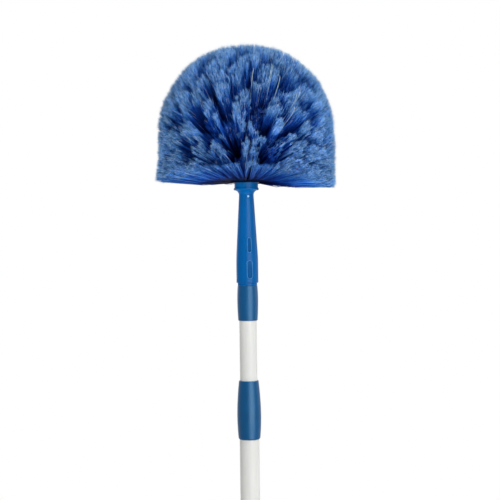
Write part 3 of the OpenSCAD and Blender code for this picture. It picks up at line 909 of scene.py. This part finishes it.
def on_socket(angle, height):
    """Where level rays from outside, at these angles and heights, meet the socket."""
    outside = around(ray_start, angle, height)
    inwards = around(-1.0, angle, np.zeros(len(angle)))
    rays = zip(outside.tolist(), inwards.tolist())
    return np.array([socket.ray_cast(Vector(place), Vector(way))[1] for place, way in rays])


skin_places = on_socket(np.full(len(skin_height), skin_angle), socket_foot + skin_height)
skin_radius = np.linalg.norm(skin_places[:, :2], axis=1)
print("the socket's radius at the slots:", skin_radius.round(5))


def seam_height(tree, place, width):
    """One along the two parting lines, where Y is nearly 0, and zero elsewhere."""
    size = maths(tree, "ABSOLUTE", coordinate(tree, place, "Y"))
    return between(tree, size, 1.0, 0.0, 0.0, width)


def slot_floors(tree, place):
    """One on the socket's surfaces inside its skin at the height of the slots, and zero elsewhere. The
    skin's radius is measured with rays under the lower slot and over the upper one."""
    up_pole = coordinate(tree, place, "Z")
    skin = between(tree, up_pole, *skin_radius, *(socket_foot + skin_height))
    depth = maths(tree, "SUBTRACT", skin, from_axis(tree, place))
    inside = between(tree, depth, 0.0, 1.0, sunk_from, sunk_to)
    low = maths(tree, "LESS_THAN", up_pole, socket_foot + skin_height[1])
    return maths(tree, "MULTIPLY", inside, low)


def gloss_plastic(name, edges, base=srgb(0, 97, 168)):
    """Glossy blue plastic; edges are the heights of its lower and upper edge."""
    material, tree, shader, place = new_material(name)
    flow = grain(tree, place, 90.0, 0.25, (1, 1, 0.15))["Mask"]
    smear = grain(tree, place, 45.0, 0.18)["Mask"]
    colour = toned(tree, base, flow, 0.12)
    # the paler edge colour is partly wear and partly a painted highlight
    colour, rub_and_light = rubbed_and_lit(tree, place, colour, edges, 0.0012, 0.35, srgb(96, 150, 205))
    dull = added(tree, between(tree, smear, 0.27, 0.36), rub_and_light, 0.2)
    if name == "socket":
        floors = slot_floors(tree, place)
        dull = added(tree, dull, floors, 0.45)
        # painted shade: the slot floors are coloured darker than the skin
        colour = mix_colors(tree, floors, colour, srgb(8, 88, 152))
    peel = grain(tree, place, 520.0)["Height"]
    height = added(tree, peel, seam_height(tree, place, 0.00025), 0.8)
    set_finish(tree, shader, colour, dull, height, 0.12, 0.0003)
    shader.inputs["Specular IOR Level"].default_value = 0.06
    return material


def grip_plastic(name, edges):
    """Dull blue plastic with a sparked texture; edges are the heights of its lower and upper edge."""
    material, tree, shader, place = new_material(name)
    cloud = grain(tree, place, 55.0, 0.22)["Mask"]
    spark = grain(tree, place, 1500.0, 0.25)
    colour = toned(tree, srgb(4, 80, 132), cloud, 0.12)
    colour = toned(tree, colour, spark["Mask"], 0.1)
    # the paler edge colour is partly wear and partly a painted highlight
    colour, rub_and_light = rubbed_and_lit(tree, place, colour, edges, 0.0014, 0.4, srgb(105, 150, 190))
    dull = added(tree, between(tree, cloud, 0.32, 0.4), rub_and_light, -0.05)
    height = added(tree, spark["Height"], seam_height(tree, place, 0.0003), 0.5)
    set_finish(tree, shader, colour, dull, height, 0.3, 0.0003)
    shader.inputs["Specular IOR Level"].default_value = 0.27
    shader.inputs["Specular Tint"].default_value = srgb(188, 231, 255)
    return material


def pale_plastic(name, edges):
    """Off-white slippery plastic of the bush, clamp ring and thread sleeve, a little grey from rubbing."""
    material, tree, shader, place = new_material(name)
    streaks = grain(tree, place, 700.0, 0.15, (1, 1, 0.04))["Mask"]
    colour = toned(tree, srgb(214, 214, 208), streaks, 0.1)
    colour, _ = rubbed_and_lit(tree, place, colour, edges, 0.002, 0.4, srgb(150, 152, 152))
    fine = grain(tree, place, 1300.0)["Height"]
    set_finish(tree, shader, colour, between(tree, streaks, 0.34, 0.5), fine, 0.12, 0.0002)
    return material


def core_plastic(name, edges):
    """Dark blue plastic of the core, which hides in the block."""
    material, tree, shader, place = new_material(name)
    flow = grain(tree, place, 120.0, 0.25)["Mask"]
    colour = toned(tree, srgb(28, 66, 128), flow, 0.2)
    colour, _ = rubbed_and_lit(tree, place, colour, edges, 0.001, 0.3, srgb(90, 130, 180))
    fine = grain(tree, place, 1200.0)["Height"]
    set_finish(tree, shader, colour, between(tree, flow, 0.4, 0.55), fine, 0.15, 0.0002)
    return material


# %% [markdown]
# ## Coated tubes and steel
# The tubes are steel with a white powder coat, which settles as a soft orange peel and keeps a
# satin sheen. Sliding and handling leave faint grey hairlines along the tube and scuffs at its ends.
# The pins, screw and washer are bare steel, brushed round their axis.


# %% Tube and steel materials
def coated_tube(name, edges):
    """White powder coat with faint hairlines along the tube."""
    material, tree, shader, place = new_material(name)
    hairs = grain(tree, place, 900.0, 0.09, (1, 1, 0.02))["Mask"]
    cloud = grain(tree, place, 30.0, 0.25)["Mask"]
    colour = toned(tree, srgb(241, 242, 238), cloud, 0.03)
    colour = mix_colors(tree, between(tree, hairs, 0.0, 0.04), colour, srgb(150, 152, 158))
    colour, _ = rubbed_and_lit(tree, place, colour, edges, 0.003, 0.3, srgb(150, 152, 155))
    peel = grain(tree, place, 650.0)["Height"]
    set_finish(tree, shader, colour, between(tree, hairs, 0.36, 0.46), peel, 0.14, 0.0004)
    shader.inputs["Specular IOR Level"].default_value = 0.11
    return material


def bare_steel(name, edges):
    """Brushed steel with a little dulling."""
    material, tree, shader, place = new_material(name)
    brushed = grain(tree, place, 1800.0, 0.2, (0.05, 1, 1))
    dulling = grain(tree, place, 240.0, 0.2)["Mask"]
    colour = toned(tree, srgb(182, 184, 188), dulling, 0.2)
    colour, _ = rubbed_and_lit(tree, place, colour, edges, 0.0006, 0.3, srgb(215, 217, 220))
    dull = between(tree, brushed["Mask"], 0.24, 0.42)
    set_finish(tree, shader, colour, dull, brushed["Height"], 0.2, 0.0001)
    shader.inputs["Metallic"].default_value = 1.0
    return material


# %% Dress the frame's nodes
finish_of_slot = {
    "core_plastic": core_plastic,
    "socket_plastic": gloss_plastic,
    "grip_plastic": grip_plastic,
    "white_tube": coated_tube,
    "bush_plastic": pale_plastic,
    "steel": bare_steel,
}
for node, part in frame["nodes"].items():
    if node_slot[node] not in finish_of_slot:
        continue
    low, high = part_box(node)
    part.data.materials.clear()
    part.data.materials.append(finish_of_slot[node_slot[node]](node.replace("_", " "), (low.z, high.z)))
print("materials:", len(bpy.data.materials))

# %% [markdown]
# ## Rims of the slots and the pip
# The socket has two slots in its front, which keep its wall even so that it cools without sinking.
# Each slot has a fine raised rim, coloured pale as a painted highlight. A rim is a thin closed tube:
# its path follows the slot's edge, and rays shot at the socket find where the path lies on its
# surface.
# The neck carries a small round pip, coloured pale as a painted glint.

# %% Rims and pip
recess_angle = math.radians(-76)
recesses = [(0.017, 0.006, 0.022), (0.048, 0.0045, 0.018)]
rim_gap, rim_thickness = 0.0004, 0.0008
path_steps, around_steps = 48, 8


def recess_rim(height, width, length):
    """A closed tube on the socket round a slot at this height: a path with two straight sides and two
    half rounds, and at each of its points a ring of the tube."""
    turn = 2 * math.pi * np.arange(path_steps) / path_steps
    half = width / 2 + rim_gap
    across = half * np.cos(turn)
    up = half * np.sin(turn) + (length - width) / 2 * np.sign(np.round(np.sin(turn), 6))
    angle = recess_angle + across / skin_radius.mean()
    path = on_socket(angle, socket_foot + height + up)

    forwards = unit(np.roll(path, -1, axis=0) - np.roll(path, 1, axis=0))
    outwards = around(1.0, angle, np.zeros(path_steps))
    sideways = np.cross(forwards, outwards)
    spin = 2 * math.pi * np.arange(around_steps) / around_steps
    ring = np.cos(spin)[None, :, None] * outwards[:, None] + np.sin(spin)[None, :, None] * sideways[:, None]
    points = (path[:, None] + rim_thickness / 2 * ring).reshape(-1, 3)

    step, corner = np.arange(path_steps)[:, None], np.arange(around_steps)[None]
    next_step, next_corner = (step + 1) % path_steps, (corner + 1) % around_steps
    here, beside = step * around_steps + corner, step * around_steps + next_corner
    ahead, across_ahead = next_step * around_steps + corner, next_step * around_steps + next_corner
    triangles = quads(here, ahead, across_ahead, beside)
    corners = points[triangles]
    volume = (corners[:, 0] * np.cross(corners[:, 1], corners[:, 2])).sum() / 6
    return points, triangles if volume > 0 else triangles[:, ::-1]


rims = [recess_rim(*recess) for recess in recesses]
rim_points = np.concatenate([points for points, _ in rims])
rim_faces = np.concatenate([rims[0][1], rims[1][1] + len(rims[0][0])])
recess_rims = mesh_piece("socket_rims", rim_points, rim_faces, {})
# painted highlight: the rims are coloured paler than the socket
rim_highlight_finish = gloss_plastic("socket rims painted highlight", end_heights(rim_points), srgb(70, 144, 206))
recess_rims.data.materials.append(rim_highlight_finish)
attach(recess_rims, "head")

pip_radius, pip_sunk, pip_angle, pip_height = 0.0016, 0.0008, math.radians(-75), 0.5185
pip_turn = np.radians(np.linspace(-90, 90, 9))
pip_outline = pip_radius * np.stack([np.cos(pip_turn), np.sin(pip_turn)], -1)
pip_outline[[0, -1], 0] = 0
pip_points, pip_faces = turned(pip_outline, True)
pip_place = on_socket(np.array([pip_angle]), np.array([pip_height]))[0]
pip_points = pip_points + pip_place - around(pip_sunk, pip_angle, 0)
pip = mesh_piece("socket_pip", pip_points, pip_faces, {})
# painted glint: the pip is coloured pale so that it shows as a bright point on the neck
pip.data.materials.append(gloss_plastic("socket pip painted glint", end_heights(pip_points), srgb(150, 196, 232)))
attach(pip, "head")
print("faces of the rims:", len(rim_faces), "and of the pip:", len(pip_faces))

# %% [markdown]
# ## The floor
# The pole stands on a plain pale floor that keeps its shadow. The photo has no visible ground, so
# the floor fades out before it reaches the edge of the picture: its material turns transparent with
# the distance from the pole, and what lies beyond is the white of the studio.

# %% Floor
floor_radius = 1.5
solid_radius, clear_radius = 0.35, 0.95 * floor_radius
floor_gap = 0.0005
floor_height = cad_box[0].z - floor_gap
floor_sides = 96
corner = np.arange(floor_sides)
turn = 2 * math.pi * corner / floor_sides
rim = around(floor_radius, turn, np.full(floor_sides, floor_height))
middle = np.array([[0, 0, floor_height]])
fan = np.stack([np.full(floor_sides, floor_sides), corner, (corner + 1) % floor_sides], -1)
floor = mesh_piece("floor", np.concatenate([rim, middle]), fan, {})
material, tree, shader, place = new_material("pale floor")
fade = between(tree, from_axis(tree, place), 0.0, 1.0, solid_radius, clear_radius, "SMOOTHSTEP")
mottle = grain(tree, place, 14.0)["Mask"]
feed(tree, shader.inputs["Base Color"], toned(tree, srgb(250, 250, 250), mottle, 0.015))
shader.inputs["Roughness"].default_value = 0.8
clear = add_node(tree, "BsdfTransparent")
faded = mix_shaders(tree, fade, shader.outputs[0], clear.outputs[0])
feed(tree, tree.nodes["Material Output"].inputs["Surface"], faded)
floor.data.materials.append(material)
floor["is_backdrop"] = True
print("floor at", round(floor_height, 4))

# %% [markdown]
# ## Light
# The photo's tubes are brightest a little right of their middle and greyer at the left edge, and
# every dull plastic shows one broad upright highlight there. So a tall key lamp stands right of the
# camera, and a wide sheen lamp beside it is seen only in reflections: its image falls on that line
# all the way down the pole. A low lamp stands in for the light that a table throws up under the
# brush, a weak one lifts the right edge, one above lights the crown, one behind keeps the back
# readable, and the white room fills the rest. The camera, reflections and clear materials see a
# white room; the surfaces are lit by a dimmer one, so that colours keep their depth.


# %% Lamps and room
def soft_lamp(name, place, aim, width, height, power, diffuse=True, glossy=True, spread=180):
    """A flat lamp at a place, turned to its aim, that spreads its light over so many degrees. It can be
    left out of dull or glossy reflection."""
    lamp_data = bpy.data.lights.new(name, "AREA")
    lamp_data.shape = "RECTANGLE"
    lamp_data.size = width
    lamp_data.size_y = height
    lamp_data.spread = math.radians(spread)
    lamp_data.energy = power
    lamp = bpy.data.objects.new(name, lamp_data)
    lamp.location = place
    lamp.rotation_euler = (Vector(aim) - Vector(place)).to_track_quat("-Z", "Y").to_euler()
    lamp.visible_diffuse = diffuse
    lamp.visible_glossy = glossy
    scene.collection.objects.link(lamp)
    return lamp


soft_lamp("key", (0.95, -1.8, 0.45), (0, 0, 0.45), 0.6, 1.9, 17, glossy=False)
soft_lamp("sheen", (0.95, -1.8, 0.2), (0, 0, 0.2), 1.7, 2.6, 125, diffuse=False)
soft_lamp("low_left", (-0.4, -1.0, 0.1), (0, 0, 0.68), 0.6, 0.4, 0.4, glossy=False, spread=24)
soft_lamp("right_edge", (1.5, 0.5, 0.6), (0, 0, 0.4), 0.8, 0.8, 2.5)
soft_lamp("top", (0.25, -0.5, 2.0), (0, 0, 0.6), 1.0, 1.0, 8)
soft_lamp("back", (-0.9, 1.6, 0.9), (0, 0, 0.45), 1.2, 1.2, 6)

room = bpy.data.worlds.new("white room")
scene.world = room
room.use_nodes = True
tree = room.node_tree
fill, white = tree.nodes["Background"], add_node(tree, "Background")
for background, strength in ((fill, 0.4), (white, 1.0)):
    background.inputs["Color"].default_value = (1, 1, 1, 1)
    background.inputs["Strength"].default_value = strength
rays = add_node(tree, "LightPath").outputs
seen = maths(tree, "MAXIMUM", rays["Is Camera Ray"], rays["Is Glossy Ray"])
seen = maths(tree, "MAXIMUM", seen, rays["Is Transmission Ray"])
lit = mix_shaders(tree, seen, fill.outputs[0], white.outputs[0])
feed(tree, tree.nodes["World Output"].inputs["Surface"], lit)
scene.view_settings.view_transform = "Standard"

# %% [markdown]
# ## Sizes
# The looks must not change the object's size, so the sizes of the frame's box and of the dressed
# object's box are printed one under the other.

# %% Print the sizes of both boxes
looks_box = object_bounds()
boxes = {"cad": [list(v) for v in cad_box], "looks": [list(v) for v in looks_box]}
for name, (low, high) in boxes.items():
    print(name, [round(b - a, 4) for a, b in zip(low, high)])
